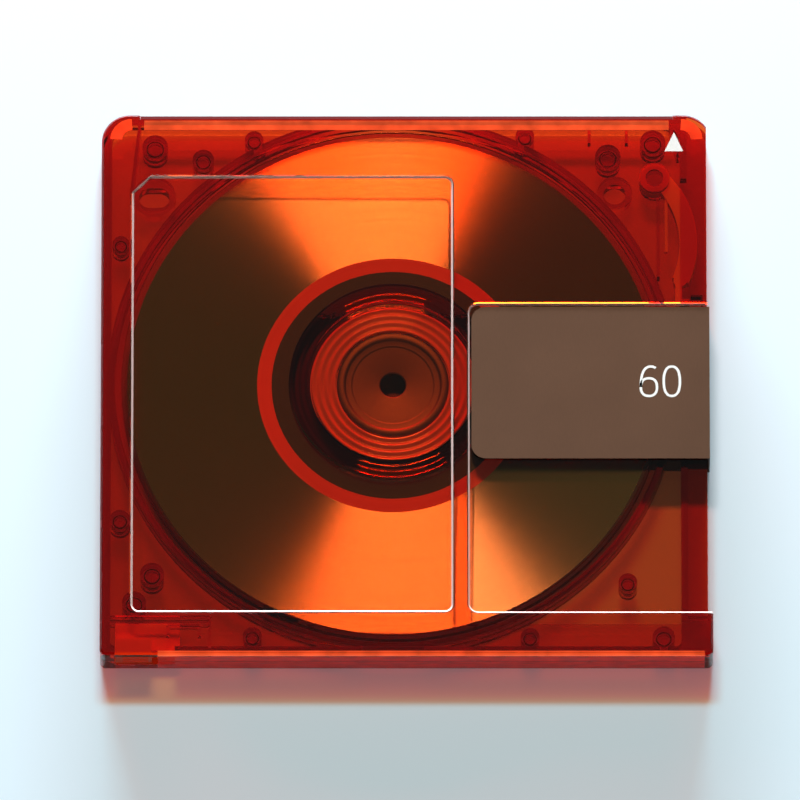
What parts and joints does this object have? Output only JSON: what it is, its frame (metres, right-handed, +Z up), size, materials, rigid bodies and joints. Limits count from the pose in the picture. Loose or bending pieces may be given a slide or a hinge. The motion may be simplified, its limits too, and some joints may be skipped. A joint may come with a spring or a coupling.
{
  "type": "optical disc cartridge",
  "caption": "Flat translucent cartridge with a recordable disc inside, a sliding metal shutter with its latch and a write-protect slider.",
  "frame": {"origin": "middle of the back face, where the closed cartridge lies on a table", "axes": "+Z up through the label face, +Y the way the cartridge goes into a drive, +X towards the shutter's side"},
  "size_m": [0.072, 0.068, 0.005],
  "materials": {
    "shell_plastic": "moulded translucent red polycarbonate, polished",
    "shutter_metal": "satin brown anodised sheet",
    "retainer_steel": "brushed stainless strip",
    "latch_plastic": "moulded orange-red resin",
    "slider_plastic": "moulded orange-red resin",
    "disc_plastic": "clear polycarbonate, polished",
    "metal_film": "sputtered film over fine circular grooves",
    "lacquer": "clear spun lacquer",
    "plate_steel": "pressed magnetic stainless steel"
  },
  "bodies": {
    "case": {"lower_shell": "shell_plastic", "upper_shell": "shell_plastic", "shutter_retainer": "retainer_steel"},
    "disc": {"disc_substrate": "disc_plastic", "recording_layer": "metal_film", "protective_coat": "lacquer", "clamp_plate": "plate_steel"},
    "shutter": {"shutter": "shutter_metal"},
    "latch": {"shutter_lock_lever": "latch_plastic"},
    "slider": {"protect_tab": "slider_plastic"}
  },
  "joints": [
    {"name": "disc_spin", "type": "hinge", "parent": "case", "child": "disc", "pos_m": [-0.0016, 0.0006, 0], "axis": [0, 0, 1], "continuous": true},
    {"name": "shutter_slide", "type": "slide", "parent": "case", "child": "shutter", "axis": [0, -1, 0], "range_m": [0, 0.019]},
    {"name": "latch_turn", "type": "hinge", "parent": "case", "child": "latch", "pos_m": [0.0293, 0.0263, 0], "axis": [0, 0, -1], "range_deg": [-2.5, 3.5], "stiffness_Nm_per_rad": 0.002},
    {"name": "slider_slide", "type": "slide", "parent": "case", "child": "slider", "axis": [1, 0, 0], "range_m": [0, 0.0026]}
  ]
}
